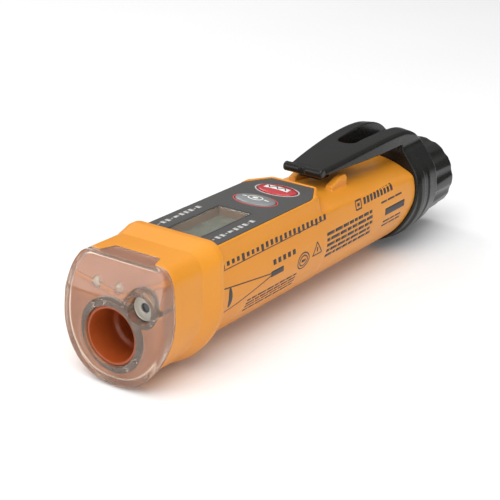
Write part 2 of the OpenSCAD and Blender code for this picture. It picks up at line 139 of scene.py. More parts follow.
# clip
RING_X = seam_box("clip_ring")[0].x
RING_END = seam_box("battery_cap")[0].x - 0.5
TIP_R = 1.5                         # bar across the clip's tip
TIP_X = seam_box("clip_arm")[0].x + 1.6
TIP_Z = 2.8
CLIP_END = 128.4
CLIP_SLOT_X = 93                    # round front end of the slot between the clip's legs
CLIP_SLOT_R = 3.3
CLIP_RIB_Y = 5.2                    # outer face of the walls along the slot


# ---- signed distances in millimetres, negative inside ----
def join(a, b, r):
    """Union with a fillet of about radius r."""
    h = np.maximum(r - np.abs(a - b), 0) / r
    return np.minimum(a, b) - h * h * r / 4


def meet(a, b, r):
    """Intersection with its edge rounded to about radius r."""
    return -join(-a, -b, r)


def cut(a, b, r):
    """a without b, its edge rounded."""
    return -join(-a, b, r)


def between(v, low, high):
    """Negative where v is between low and high."""
    return np.maximum(low - v, v - high)


def rod(a, b, r, centre=(0, 0)):
    """An endless round rod of radius r."""
    return np.hypot(a - centre[0], b - centre[1]) - r


def box(x, y, z, xs, ys, zs, r=0.3):
    """A box from its three ranges, its edges rounded."""
    return meet(meet(between(x, *xs), between(y, *ys), r), between(z, *zs), r)


def side(u, v, p, q):
    """Distance to the line from p to q, positive on its left."""
    du, dv = q[0] - p[0], q[1] - p[1]
    return ((v - p[1]) * du - (u - p[0]) * dv) / np.hypot(du, dv)


def ramp(v, low, high):
    """0 below low, 1 above high, smooth between."""
    t = np.clip((v - low) / (high - low), 0, 1)
    return t * t * (3 - 2 * t)


def shield(y, z, top, shoulder, wide, bottom, n=2, r=1.4):
    """Section with a flat top to half width top[0], a shoulder, a widest level and a round belly."""
    s = np.abs(y)
    belly = (s / wide[0]) ** n + (np.maximum(wide[1] - z, 0) / (wide[1] - bottom)) ** n
    d = meet(z - top[1], side(s, z, top, shoulder), r)
    d = meet(d, side(s, z, shoulder, wide), r)
    return meet(d, (belly ** (1 / n) - 1) * wide[0], r)


# ---- meshes ----
def net(field, low, step):
    """Vertices and quads of the skin between the negative and positive parts of a sampled field."""
    inside = field < 0
    count = sum(
        inside[i:i - 1 or None, j:j - 1 or None, k:k - 1 or None].astype(np.int8)
        for i in (0, 1) for j in (0, 1) for k in (0, 1)
    )
    mixed = (count > 0) & (count < 8)
    cells = np.argwhere(mixed)
    index = np.zeros(mixed.shape, np.int64)
    index[mixed] = np.arange(len(cells))
    total, hits = np.zeros((len(cells), 3)), np.zeros(len(cells))
    quads = []
    unit = np.eye(3, dtype=int)
    for axis in range(3):
        u, v = unit[(axis + 1) % 3], unit[(axis + 2) % 3]
        for start in (0 * u, u, v, u + v):
            p = cells + start
            q = p + unit[axis]
            a, b = field[tuple(p.T)], field[tuple(q.T)]
            crossed = (a < 0) != (b < 0)
            t = a[crossed] / (a[crossed] - b[crossed])
            total[crossed] += p[crossed] + t[:, None] * unit[axis]
            hits[crossed] += 1
        shape = np.array(inside.shape) - unit[axis]
        a = inside[tuple(slice(0, n) for n in shape)]
        b = inside[tuple(slice(d, d + n) for d, n in zip(unit[axis], shape))]
        edges = np.argwhere(a != b)
        corners = [index[tuple((edges - o).T)] for o in (0 * u, u, u + v, v)]
        faces = np.stack(corners, 1)
        outward = a[tuple(edges.T)]
        quads.append(np.where(outward[:, None], faces, faces[:, ::-1]))
    return low + step * total / hits[:, None], np.concatenate(quads)


def polished(form, points, step, rounds=2):
    """Moves the vertices onto the form's exact surface."""
    h = step * 0.1
    for _ in range(rounds):
        x, y, z = points.T
        f = form(x, y, z)
        slope = np.stack([form(x + h, y, z) - f, form(x, y + h, z) - f, form(x, y, z + h) - f], 1) / h
        move = f[:, None] * slope / np.maximum((slope ** 2).sum(1), 0.2)[:, None]
        length = np.linalg.norm(move, axis=1, keepdims=True)
        points = points - move * np.minimum(1, 0.5 * step / np.maximum(length, 1e-9))
    return points


def piece(name, points, faces, paint, body=None, smooth=180):
    """An object from points in millimetres in the seam frame; it rides on body."""
    mesh = bpy.data.meshes.new(name)
    mesh.from_pydata((np.asarray(points, float) * MM + np.array(SEAM)).tolist(), [], faces)
    mesh.polygons.foreach_set("use_smooth", [True] * len(mesh.polygons))
    if smooth < 180:
        mesh.set_sharp_from_angle(angle=math.radians(smooth))
    mesh.materials.append(paint)
    made = bpy.data.objects.new(name, mesh)
    bpy.context.scene.collection.objects.link(made)
    if body:
        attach(made, body)
    return made


def moulded(name, form, low, high, step, paint, body=None):
    """A piece whose surface is where form(x, y, z) is 0."""
    low = np.array(low, float)
    counts = np.ceil((np.array(high) - low) / step).astype(int) + 1
    axes = [low[i] + step * np.arange(counts[i]) for i in range(3)]
    field = np.broadcast_to(form(*np.meshgrid(*axes, indexing="ij", sparse=True)), counts)
    points, quads = net(np.ascontiguousarray(field, dtype=np.float32), low, step)
    return piece(name, polished(form, points, step), quads.tolist(), paint, body)


def turned(name, profile, paint, body, centre=(0, 0), sides=96, closed=True):
    """A piece turned about the X direction through centre: profile is a list of (x, radius)."""
    rings = []
    for i in range(sides):
        a = 2 * math.pi * i / sides
        rings += [(x, centre[0] + r * math.cos(a), centre[1] + r * math.sin(a)) for x, r in profile]
    n = len(profile)
    faces = [
        (i * n + j, ((i + 1) % sides) * n + j, ((i + 1) % sides) * n + (j + 1) % n, i * n + (j + 1) % n)
        for i in range(sides) for j in range(n if closed else n - 1)
    ]
    made = piece(name, rings, faces, paint, smooth=35)
    tidy_mesh(made)
    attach(made, body)
    return made


def tidy_mesh(made):
    """Joins vertices that coincide, and turns the faces outwards."""
    work = bmesh.new()
    work.from_mesh(made.data)
    bmesh.ops.remove_doubles(work, verts=work.verts, dist=1e-7)
    bmesh.ops.recalc_face_normals(work, faces=work.faces)
    work.to_mesh(made.data)
    work.free()


def plate(name, outlines, z0, z1, edge, paint, body):
    """A flat piece between levels z0 and z1 with rounded edges; outlines after the first are holes."""
    curve = bpy.data.curves.new(name, "CURVE")
    curve.dimensions, curve.fill_mode = "2D", "BOTH"
    curve.extrude = (z1 - z0) / 2 * MM - edge * MM
    curve.bevel_depth, curve.bevel_resolution, curve.offset = edge * MM, 2, -edge * MM
    for outline in outlines:
        line = curve.splines.new("POLY")
        line.points.add(len(outline) - 1)
        for point, (x, y) in zip(line.points, outline):
            point.co = (x * MM, y * MM, 0, 1)
        line.use_cyclic_u = True
    holder = bpy.data.objects.new(name + "_outline", curve)
    bpy.context.scene.collection.objects.link(holder)
    bpy.context.view_layer.update()
    mesh = bpy.data.meshes.new_from_object(holder.evaluated_get(bpy.context.evaluated_depsgraph_get()))
    bpy.data.objects.remove(holder)
    mesh.name = name
    mesh.transform(Matrix.Translation(SEAM + Vector((0, 0, (z0 + z1) / 2 * MM))))
    mesh.polygons.foreach_set("use_smooth", [True] * len(mesh.polygons))
    mesh.set_sharp_from_angle(angle=math.radians(35))
    mesh.materials.clear()
    mesh.materials.append(paint)
    made = bpy.data.objects.new(name, mesh)
    bpy.context.scene.collection.objects.link(made)
    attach(made, body)
    return made


def rounded(points, r, steps=5):
    """An outline with its corners rounded to radius r."""
    made = []
    for i, p in enumerate(points):
        a, b, c = Vector(points[i - 1]), Vector(p), Vector(points[(i + 1) % len(points)])
        start, end = b + (a - b).normalized() * r, b + (c - b).normalized() * r
        for k in range(steps + 1):
            t = k / steps
            made.append(tuple(start * (1 - t) ** 2 + b * 2 * t * (1 - t) + end * t * t))
    return made


def oval(x, grow=0.0, sides=72):
    """A button's outline, grown by grow."""
    turn = [2 * math.pi * i / sides for i in range(sides)]
    return [(x + (KEY_RX + grow) * math.cos(a), (KEY_RY + grow) * math.sin(a)) for a in turn]


def window_outline(grow, r):
    """The display window's outline, grown by grow."""
    x0, y0 = WINDOW_LOW.x - grow, WINDOW_LOW.y - grow
    x1, y1 = WINDOW_HIGH.x + grow, WINDOW_HIGH.y + grow
    return rounded([(x0, y0), (x1, y0), (x1, y1), (x0, y1)], r)


# ---- materials: grain, colour and gloss vary over each surface ----
GRAIN_SHARE = 0.35                  # of the fine grain in the colour, the rest is broad patches
MIX_A, MIX_B, MIX_RESULT = 6, 7, 2  # the Mix node's colour sockets


def nodes_of(owner):
    """The node tree of a material or world, and a function that adds a node with its settings."""
    tree = owner.node_tree

    def add(kind, **settings):
        node = tree.nodes.new(kind)
        for key, value in settings.items():
            if key in node.inputs:
                node.inputs[key].default_value = value
            else:
                setattr(node, key, value)
        return node
    return tree, add


def map_range(add, source, target):
    """A node that maps the source range onto the target range."""
    node = add("ShaderNodeMapRange")
    for socket, value in zip(("From Min", "From Max", "To Min", "To Max"), (*source, *target)):
        node.inputs[socket].default_value = value
    return node


def colour_ramp(add, first, last):
    """A ramp between two stops, each a position and a colour."""
    node = add("ShaderNodeValToRGB")
    for stop, (position, colour) in zip(node.color_ramp.elements, (first, last)):
        stop.position = position
        stop.color = (*colour, 1)
    return node


def surface(name, dark, light, rough=(0.4, 0.5), patch=60, grain=2500, bump=0.15, depth=0.02,
            edge_highlight=0.0, **shader):
    """A procedural material: colour between dark and light in patches and grain, a varied gloss,
    a fine bump of depth millimetres, and a painted highlight: sharp edges painted lighter."""
    mat = bpy.data.materials.new(name)
    mat.use_nodes = True
    tree, add = nodes_of(mat)
    bsdf = tree.nodes["Principled BSDF"]
    for key, value in shader.items():
        bsdf.inputs[key.replace("_", " ").title().replace("Ior", "IOR")].default_value = value
    link = tree.links.new
    place = add("ShaderNodeTexCoord").outputs["Object"]
    broad = add("ShaderNodeTexNoise", Scale=patch, Detail=3.0, Roughness=0.55)
    fine = add("ShaderNodeTexNoise", Scale=grain, Detail=4.0, Roughness=0.6)
    for noise in (broad, fine):
        link(place, noise.inputs["Vector"])
    mixed = add("ShaderNodeMath", operation="MULTIPLY_ADD")
    mixed.inputs[1].default_value = GRAIN_SHARE
    link(fine.outputs[0], mixed.inputs[0])
    scaled = add("ShaderNodeMath", operation="MULTIPLY")
    scaled.inputs[1].default_value = 1 - GRAIN_SHARE
    link(broad.outputs[0], scaled.inputs[0])
    link(scaled.outputs[0], mixed.inputs[2])
    tint = colour_ramp(add, (0.36, dark), (0.64, light))
    link(mixed.outputs[0], tint.inputs[0])
    colour = tint.outputs[0]
    # painted highlight: sharp edges, found by their pointiness, are painted lighter
    if edge_highlight:
        edge = add("ShaderNodeNewGeometry").outputs["Pointiness"]
        pick = map_range(add, (0.52, 0.62), (0, edge_highlight))
        link(edge, pick.inputs["Value"])
        highlighted_edge = add("ShaderNodeMix", data_type="RGBA")
        link(pick.outputs[0], highlighted_edge.inputs[0])
        link(colour, highlighted_edge.inputs[MIX_A])
        highlighted_edge.inputs[MIX_B].default_value = (*[min(1, c * 1.5 + 0.05) for c in light], 1)
        colour = highlighted_edge.outputs[MIX_RESULT]
    link(colour, bsdf.inputs["Base Color"])
    gloss = map_range(add, (0.3, 0.7), rough)
    link(mixed.outputs[0], gloss.inputs["Value"])
    link(gloss.outputs[0], bsdf.inputs["Roughness"])
    relief = add("ShaderNodeBump", Strength=bump, Distance=depth * MM)
    link(fine.outputs[0], relief.inputs["Height"])
    link(relief.outputs[0], bsdf.inputs["Normal"])
    return mat


# painted highlight on the orange's edges: the last number given
ORANGE = surface("orange_abs", (0.66, 0.245, 0.018), (0.72, 0.285, 0.028), (0.27, 0.37), 25, 2600,
                 0.25, 0.012, 0.06, subsurface_weight=0.06, subsurface_scale=0.001, specular_ior_level=0.3)
BARREL = surface("orange_barrel", (0.26, 0.045, 0.008), (0.34, 0.065, 0.012), (0.3, 0.4), 60, 2600, 0.2)
# painted highlight on the black nylon's edges: the last number given
BLACK = surface("black_nylon", (0.006, 0.006, 0.005), (0.011, 0.010, 0.009), (0.22, 0.34), 60, 2200,
                0.25, 0.015, 0.12, specular_ior_level=0.28)
DARK_TRIM = surface("black_trim", (0.02, 0.02, 0.02), (0.035, 0.034, 0.033), (0.4, 0.55), 90, 2500)
OVERLAY = surface("overlay_film", (0.038, 0.037, 0.036), (0.085, 0.083, 0.080), (0.42, 0.52), 3500, 5200,
                  0.35, 0.01, specular_ior_level=0.5)
LENS = surface("clear_polycarbonate", (0.72, 0.55, 0.44), (0.82, 0.67, 0.56), (0.08, 0.14), 90, 260,
               0.12, 0.06, transmission_weight=0.89, ior=1.42)
WINDOW = surface("window_acrylic", (0.96, 0.96, 0.94), (1.0, 1.0, 0.99), (0.01, 0.03), 90, 900,
                 0.05, 0.01, transmission_weight=1.0, ior=1.3)
TAN = surface("tan_frame", (0.38, 0.25, 0.165), (0.46, 0.31, 0.21), (0.4, 0.5), 80, 2400)
LCD = surface("lcd_glass", (0.20, 0.215, 0.165), (0.26, 0.275, 0.22), (0.22, 0.32), 45, 3800, 0.1, 0.004)
GREY_BUTTON = surface("grey_button", (0.17, 0.18, 0.18), (0.23, 0.24, 0.24), (0.28, 0.36), 120, 2600,
                      0.15, 0.01, coat_weight=0.3, coat_roughness=0.2)
RED_BUTTON = surface("red_button", (0.36, 0.008, 0.014), (0.44, 0.014, 0.022), (0.22, 0.3), 120, 2600,
                     0.12, 0.01, coat_weight=0.5, coat_roughness=0.12)
INK = surface("black_ink", (0.022, 0.018, 0.020), (0.045, 0.038, 0.040), (0.4, 0.55), 700, 5000, 0.3, 0.01)
WHITE_INK = surface("white_ink", (0.62, 0.62, 0.60), (0.74, 0.74, 0.72), (0.4, 0.5), 700, 5000, 0.3, 0.01)
SILVER_INK = surface("silver_ink", (0.42, 0.41, 0.40), (0.50, 0.49, 0.48), (0.3, 0.4), 700, 5000, 0.3, 0.01)
RED_INK = surface("red_ink", (0.50, 0.05, 0.05), (0.58, 0.07, 0.07), (0.4, 0.5), 700, 5000, 0.3, 0.01)
METAL = surface("nickel", (0.60, 0.59, 0.56), (0.70, 0.69, 0.66), (0.22, 0.36), 140, 3000, 0.2, 0.01,
                metallic=1.0)
DISC = surface("satin_disc", (0.38, 0.37, 0.33), (0.46, 0.45, 0.40), (0.4, 0.5), 140, 3000, 0.2, 0.01,
               metallic=0.4)
GOLD = surface("gold_plate", (0.72, 0.52, 0.22), (0.82, 0.64, 0.32), (0.2, 0.32), 140, 3000, 0.2, 0.01,
               metallic=1.0)
COPPER = surface("copper_sheet", (0.62, 0.30, 0.16), (0.74, 0.42, 0.26), (0.3, 0.42), 140, 3000, 0.2, 0.01,
                 metallic=1.0)
RUBBER = surface("black_rubber", (0.016, 0.016, 0.016), (0.028, 0.028, 0.028), (0.6, 0.75), 120, 1800, 0.4)
DARK_GLASS = surface("filter_glass", (0.008, 0.008, 0.012), (0.018, 0.016, 0.024), (0.06, 0.1), 200, 3000,
                     0.05, 0.005, coat_weight=0.6, coat_roughness=0.05)
RESIN = surface("led_resin", (0.80, 0.78, 0.70), (0.88, 0.86, 0.78), (0.15, 0.25), 200, 3000, 0.1, 0.01,
                transmission_weight=0.15, ior=1.5)
BOARD = surface("solder_mask", (0.012, 0.12, 0.045), (0.03, 0.19, 0.07), (0.25, 0.4), 500, 4000, 0.3, 0.02)
CERAMIC = surface("ceramic", (0.40, 0.30, 0.20), (0.50, 0.38, 0.27), (0.5, 0.6), 400, 4000, 0.3)
SLEEVE = surface("cell_sleeve", (0.07, 0.14, 0.28), (0.11, 0.20, 0.38), (0.2, 0.32), 60, 2500, 0.1, 0.01)
IVORY = surface("ivory_nylon", (0.62, 0.59, 0.50), (0.72, 0.69, 0.60), (0.4, 0.5), 80, 2400)

SLOT_PAINTS = {
    "clear_lens": LENS, "orange_plastic": ORANGE, "orange_barrel": BARREL, "black_rubber": RUBBER,
    "dark_rubber": RUBBER, "dark_glass": DARK_GLASS, "bright_metal": METAL, "gold_metal": GOLD,
    "copper_sheet": COPPER, "led_resin": RESIN, "grey_overlay": OVERLAY, "clear_window": WINDOW,
    "tan_plastic": TAN, "lcd_glass": LCD, "grey_button": GREY_BUTTON, "red_button": RED_BUTTON,
    "black_plastic": DARK_TRIM, "green_board": BOARD, "tan_ceramic": CERAMIC, "cell_sleeve": SLEEVE,
    "ivory_plastic": IVORY,
}
for part in frame["record"]["subparts"]:
    node = frame["nodes"][part["node"]]
    for slot in node.material_slots:
        slot.material = SLOT_PAINTS[part["material_slot"]]
    for polygon in node.data.polygons:
        polygon.use_smooth = True
    node.data.set_sharp_from_angle(angle=math.radians(30))


# ---- body ----
def tube(y, z, x, inset=0.0):
    """The body behind the display platform: its top falls towards the tail."""
    top = np.interp(x, (0, TUBE_X, RING_X), (-2.0, -2.2, -3.2))
    shoulder = np.interp(x, (0, TUBE_X, RING_X), (-5.0, -5.4, -7.6))
    return shield(y, z, (4.5, top), (15, shoulder), (BODY_HALF_W, BODY_LEVEL), BELLY_Z, 2, 2.2) + inset


def front_part(y, z, inset=0.0):
    """The body's section under the display platform."""
    return shield(y, z, (13.1, 0.4), (14, -4), (BODY_HALF_W, BODY_LEVEL), BELLY_Z, 2, 0.9) + inset


def front_edge(z):
    """Where the body's front edge lies at a level: bevelled towards the bottom."""
    return -0.5 - 4.6 * ramp(-z, 18, 28)


def cell_bores(y, z):
    """The two tubes that hold the cells side by side."""
    left, right = (rod(y, z, CELL_BORE_R, (at, AXIS_Z)) for at in (CELL_Y, -CELL_Y))
    return join(left, right, 1.2)


def panel_plan(x, y, grow):
    """The overlay's outline: straight sides and two cut corners at the rear."""
    s = np.abs(y)
    d = meet(s - PANEL_HALF_W - grow, x - PANEL_END - grow, 0.4)
    slant = side(s, x, (PANEL_HALF_W + grow, PANEL_CUT_X + 1.2 * grow),
                 (PANEL_CUT_Y + 0.6 * grow, PANEL_END + grow))
    return meet(d, -slant, 0.6)


def lug(x, y, z):
    """The two ramps under the clip's tip, one on each side."""
    s = np.abs(y)
    d = meet(z + 0.3 + 0.9 * ramp(s, 7.2, 8.2), side(x, z, (71, -1.9), (75.5, -0.4)), 0.4)
    return meet(meet(d, between(s, *LUG_Y), 0.4), between(x, *LUG_X), 0.3)


def body_skin(x, y, z):
    """The outside of the body: platform, lugs and the seats for the nose and the clip's band."""
    d = meet(tube(y, z, x), between(x, -5.2, RING_X), 0.4)
    d = meet(d, front_edge(z) - x, 0.3)
    platform = meet(front_part(y, z), np.minimum(panel_plan(x, y, 0.9), x - 54.5), 0.7)
    d = join(d, meet(platform, front_edge(z) - x, 0.3), 1.2)
    d = meet(d, front_part(y, z) + 2.5 * (1 - ramp(x, -7, 12)) * ramp(-z, 14, 28), 0.4)
    d = join(d, np.maximum(lug(x, y, z), -z - 6), 0.5)
    band_seat = meet(tube(y, z, x, 1.3), between(x, RING_X - 1, BODY_END), 0.3)
    d = join(d, band_seat, 0.2)
    nose_seat = meet(front_part(y, z, 1.9), between(x, -6, 1), 0.3)
    d = join(d, nose_seat, 0.15)
    parting = np.maximum(np.abs(z - PARTING_Z) - 0.14, -0.22 - d)
    return cut(d, np.maximum(parting, between(x, 1, RING_X - 8)), 0.1)


def body_form(x, y, z):
    """The hollow body with the overlay's recess and the holes through its deck."""
    d = body_skin(x, y, z)
    recess = np.maximum(np.maximum(panel_plan(x, y, 0), -OVERLAY_T - z), -0.3 - x)
    d = cut(d, recess, 0.25)
    room = np.maximum(front_part(y, z, 2.2), between(x, 1.5, 52))
    mouth = np.maximum(np.maximum(front_part(y, z, 3.0), z - DECK_Z), between(x, -7, 2))
    rear_room = np.maximum(tube(y, z, x, 2.0), between(x, 51, 79.8))
    inner = np.minimum(np.minimum(room, mouth), rear_room)
    d = cut(d, np.maximum(inner, z - DECK_Z), 0.3)
    d = cut(d, np.maximum(cell_bores(y, z), 82.1 - x), 0.2)
    well = box(x, y, z, (WINDOW_LOW.x - 0.8, WINDOW_HIGH.x + 0.8), (-6.4, 6.4), (-4, 1), 0.2)
    hole_rx, hole_ry = KEY_RX + KEY_GAP, KEY_RY + KEY_GAP
    for at in (IR_X, NCV_X):
        hole = (np.hypot((x - at) / hole_rx, y / hole_ry) - 1) * hole_rx
        well = np.minimum(well, np.maximum(hole, between(z, -4, 1)))
    return cut(d, well, 0.15)


def neck_form(x, y, z):
    """The threaded neck with the groove for its sealing ring."""
    rr = np.hypot(y, z - AXIS_Z)
    turn = np.arctan2(z - AXIS_Z, y) / (2 * math.pi)
    half_pitch = THREAD_PITCH / 2
    along = np.mod(x - BODY_END - 2.9 - THREAD_PITCH * turn + half_pitch, THREAD_PITCH) - half_pitch
    ridge = rr - NECK_R - THREAD_H * np.clip(1.6 - np.abs(along) / 0.3, 0, 1)
    d = np.where(between(x, BODY_END + 2.6, NECK_END - 0.9) < 0, ridge, rr - NECK_R)
    d = meet(d, between(x, BODY_END - 0.6, NECK_END), 0.3)
    ring_groove = np.hypot(rr - 11.62, x - BODY_END - 1.1) - 0.52
    d = cut(d, ring_groove, 0.1)
    recess = np.maximum(rr - 10.8, NECK_END - 3.4 - x)
    slot = box(x, y, z, (BODY_END - 2, NECK_END + 2), (-1.35, 1.35), (AXIS_Z + 5.4, AXIS_Z + 8.4), 0.1)
    return cut(d, np.minimum(np.minimum(cell_bores(y, z), recess), slot), 0.15)


body = moulded("body_casing", body_form, (-7, -17.2, -33), (BODY_END + 0.6, 17.2, 1.6), 0.34, ORANGE, "body")
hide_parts("body_shell")
neck = moulded("threaded_neck", neck_form, (BODY_END - 1.4, -12.6, AXIS_Z - 12.6),
               (NECK_END + 0.6, 12.6, AXIS_Z + 12.6), 0.2, ORANGE, "body")


# ---- nose ----
def nose_outer(x, y, z):
    """The nose with the collar swelling at its rear."""
    lean = 0.7 * ramp(-z, 1, 6) + 3.6 * ramp(-z, 18, 33)
    rise = np.clip((x + lean + 8.8) / 6.4, 0, 1)
    front = ramp(-x, 20, 26)
    w = NOSE_HALF_W + COLLAR_SWELL * rise
    top = (12.8 + 0.5 * rise, 0.55 + 1.35 * rise)
    shoulder = (w - 1.25, -2.7 + 1.3 * rise)
    d = shield(y, z, top, shoulder, (w, -13), -33.5 - 1.1 * rise - 0.7 * front, 2.05 + 0.25 * front, 1.6)
    d = meet(d, x + lean, 0.8)
    return meet(d, NOSE_X - 0.35 - x, 1.5)


def lens_zone(x, y, z):
    """What is in front of the lens's rear edge, with the tab on top."""
    edge = x - LENS_X + 2.7 * ramp(-z, 12, 33)
    tab = meet(meet(x - LENS_X - 4.6, np.abs(y) - 7.3 - 0.35 * (LENS_X + 4.6 - x), 0.4), -6 - z, 0.3)
    return join(edge, tab, 0.5)


def visor(x, z, depth=0.0):
    """The sloping plane of the visor, sunk by depth; the space above it is positive."""
    return (z - VISOR_FOOT_Z) * math.cos(VISOR_ANGLE) - (x - NOSE_X) * math.sin(VISOR_ANGLE) + depth


def wall(a, b, p, q, thick):
    """A web of the given thickness along the segment from p to q."""
    du, dv = q[0] - p[0], q[1] - p[1]
    t = np.clip(((a - p[0]) * du + (b - p[1]) * dv) / (du * du + dv * dv), 0, 1)
    return np.hypot(a - p[0] - t * du, b - p[1] - t * dv) - thick / 2


def lens_form(x, y, z):
    """The clear cap: a skin with a ring, a boss and two webs inside."""
    outer = meet(nose_outer(x, y, z), visor(x, z), 0.7)
    inner = meet(nose_outer(x, y, z) + LENS_WALL, visor(x, z, LENS_WALL), 0.5)
    d = cut(meet(outer, lens_zone(x, y, z), 0.12), inner, 0.3)
    ring = meet(rod(y, z, SIGHT_RING_R, (0, SIGHT_Z)), between(x, NOSE_X - 0.6, LENS_X), 0.6)
    boss = meet(rod(y, z, LASER_BOSS_R, (LASER_Y, LASER_Z)), between(x, NOSE_X - 0.25, LENS_X), 0.6)
    d = join(d, join(ring, boss, 0.8), 0.8)
    far_web, near_web = (wall(y, z, (-2.2, -8.8), end, 0.9) for end in ((-15, -2.4), (14, -6.4)))
    webs = meet(np.minimum(far_web, near_web), between(x, NOSE_X + 0.6, LENS_X - 0.6), 0.4)
    d = join(d, np.maximum(webs, outer + 0.5), 0.6)
    d = cut(d, rod(y, z, SIGHT_R, (0, SIGHT_Z)), 0.5)
    return cut(d, rod(y, z, LASER_R, (LASER_Y, LASER_Z)), 0.5)


def housing_form(x, y, z):
    """The nose behind the lens, and its insert that shows through the lens."""
    outer = nose_outer(x, y, z)
    inside_lens = outer + (LENS_WALL + LENS_GAP)
    d = meet(outer, -lens_zone(x, y, z) + 0.06, 0.12)
    insert = np.maximum(inside_lens, visor(x, z, 1.5))
    d = join(d, np.maximum(insert, x - LENS_X - 1), 0.2)
    d = cut(d, np.maximum(outer + 1.8, between(x, LENS_X + 2, 1)), 0.3)
    d = cut(d, rod(y, z, SIGHT_RING_R + NOSE_BORE_GAP, (0, SIGHT_Z)), 0.3)
    laser_bore = rod(y, z, LASER_BOSS_R + NOSE_BORE_GAP, (LASER_Y, LASER_Z))
    d = cut(d, np.maximum(laser_bore, x - NOSE_BORE_END), 0.3)
    shelf = box(x, y, z, (LENS_X - 0.5, LENS_X + 6.4), (-9, 9), (-3.6, 1), 0.2)
    d = join(d, np.maximum(shelf, inside_lens), 0.2)
    for at in LED_Y:
        d = cut(d, np.maximum(rod(y, z, LED_BORE_R, (at, LED_Z)), x - NOSE_BORE_END), 0.2)
    return d


lens = moulded("nose_lens_cap", lens_form, (NOSE_X - 1.2, -17.6, -35), (LENS_X + 5.4, 17.6, 1.4), 0.24,
               LENS, "body")
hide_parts("nose_lens")
housing = moulded("nose_casing", housing_form, (NOSE_X - 0.4, -18.6, -35.4), (0.8, 18.6, 2.8), 0.26,
                  ORANGE, "body")
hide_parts("nose_housing")

barrel = turned("sighting_barrel", [
    (NOSE_X + 0.25, 7.55), (NOSE_X + 0.2, 7.75), (NOSE_X + 0.2, 8.1), (NOSE_X + 0.4, 8.28), (-8.6, 8.28),
    (-8.5, 8.15), (-8.5, 4.75), (-13.1, 4.75), (-13.4, 4.95), (-13.6, 5.9), (-13.8, 6.05), (-16.4, 6.15),
    (-16.9, 6.45), (-17.4, 7.15), (-17.8, 7.38), (-18.4, 7.42), (NOSE_X + 0.5, 7.42)],
    BARREL, "body", (0, SIGHT_Z), 128)
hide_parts("ir_barrel")
lamp_profile = [
    (-17.6, 0), (-17.6, 1.7), (-18.4, LED_FLANGE_R), (-18.5, 1.5), (-24.3, 1.5), (-24.9, 1.3),
    (-25.2, 0.8), (-25.3, 0)]
lamps = [turned(f"indicator_lamp_{i + 1}", lamp_profile, RESIN, "body", (LED_Y[i], LED_Z), 48, False)
         for i in (0, 1)]
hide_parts("indicator_leds")
filter_disc = turned("infrared_filter", [
    (-13.2, 0), (-13.3, 1.5), (-13.28, 4.2), (-13.15, 4.6), (-12.6, 4.65), (-12.5, 4.5), (-12.5, 0)],
    DARK_GLASS, "body", (0, SIGHT_Z), 96, False)
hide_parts("ir_filter")
laser_tube = turned("laser_tube", [
    (-13, 2.85), (-11.1, 2.85), (-11, 2.95), (-11, 3.5), (-11.1, 3.6), (NOSE_X + 2.5, 3.6),
    (NOSE_X + 2.25, 3.5), (NOSE_X + 2.2, 3.35), (NOSE_X + 2.35, 3.2), (NOSE_X + 2.35, 1.5),
    (NOSE_X + 2.5, 1.35), (-13, 1.3)],
    DISC, "body", (LASER_Y, LASER_Z), 96)
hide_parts("laser_module")
aperture = turned("laser_aperture", [
    (NOSE_X + 2.9, 0), (NOSE_X + 2.8, 0.9), (NOSE_X + 2.85, 1.28), (NOSE_X + 3.6, 1.28), (NOSE_X + 3.6, 0)],
    DARK_GLASS, "body", (LASER_Y, LASER_Z), 64, False)


# ---- display and buttons ----
overlay_outline = rounded([
    (0.1, -PANEL_HALF_W + 0.1), (PANEL_CUT_X, -PANEL_HALF_W + 0.1), (PANEL_END - 0.1, -7.45),
    (PANEL_END - 0.1, 7.45), (PANEL_CUT_X, PANEL_HALF_W - 0.1), (0.1, PANEL_HALF_W - 0.1)], 0.6)
overlay_holes = [window_outline(0, 0.35), oval(IR_X, OVERLAY_KEY_GAP), oval(NCV_X, OVERLAY_KEY_GAP)]
overlay = plate("overlay_sheet", [overlay_outline] + overlay_holes, -OVERLAY_T, 0.0, 0.08, OVERLAY, "body")
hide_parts("display_overlay")
window = plate("window_pane", [window_outline(-0.05, 0.35)], -OVERLAY_T, -0.12, 0.06, WINDOW, "body")
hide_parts("display_window")

# a button's crown: how far out from its middle, from 0 to 1, and the level there
DOME = [(1.0, -0.9), (1.0, 0.05), (0.985, 0.24), (0.95, 0.37), (0.88, 0.46), (0.75, 0.57),
        (0.55, 0.69), (0.3, 0.78), (0.0, 0.82)]


def dome_z(q):
    """Height of a button's crown where q runs from 0 in the middle to 1 at its edge."""
    return np.interp(q, [p[0] for p in reversed(DOME)], [p[1] for p in reversed(DOME)])


def button(name, at, paint, body, node):
    """A crowned oval key with a flange under the deck and a stem."""
    stem_z, flange_z = -6.2, -3.35
    flange = [(1.16, flange_z), (1.16, -2.45), (1.0, DECK_Z)]
    rings = [(STEM_R, STEM_R, stem_z), (STEM_R, STEM_R, flange_z)]
    rings += [(KEY_RX * q, KEY_RY * q, z) for q, z in flange + DOME[:-1]]
    sides = 96
    points = [(at, 0, stem_z)]
    for rx, ry, z in rings:
        for i in range(sides):
            a = 2 * math.pi * i / sides
            points.append((at + rx * math.cos(a), ry * math.sin(a), z))
    points.append((at, 0, DOME[-1][1]))
    faces = [(0, 1 + (i + 1) % sides, 1 + i) for i in range(sides)]
    last = len(rings) - 1
    for k in range(last):
        for i in range(sides):
            a, b = 1 + k * sides + i, 1 + k * sides + (i + 1) % sides
            faces.append((a, b, b + sides, a + sides))
    top = 1 + last * sides
    faces += [(top + i, top + (i + 1) % sides, len(points) - 1) for i in range(sides)]
    made = piece(name, points, faces, paint, smooth=40)
    tidy_mesh(made)
    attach(made, body)
    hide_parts(node)


button("thermometer_key", IR_X, GREY_BUTTON, "thermometer_button", "ir_button")
button("voltage_key", NCV_X, RED_BUTTON, "voltage_button", "ncv_button")
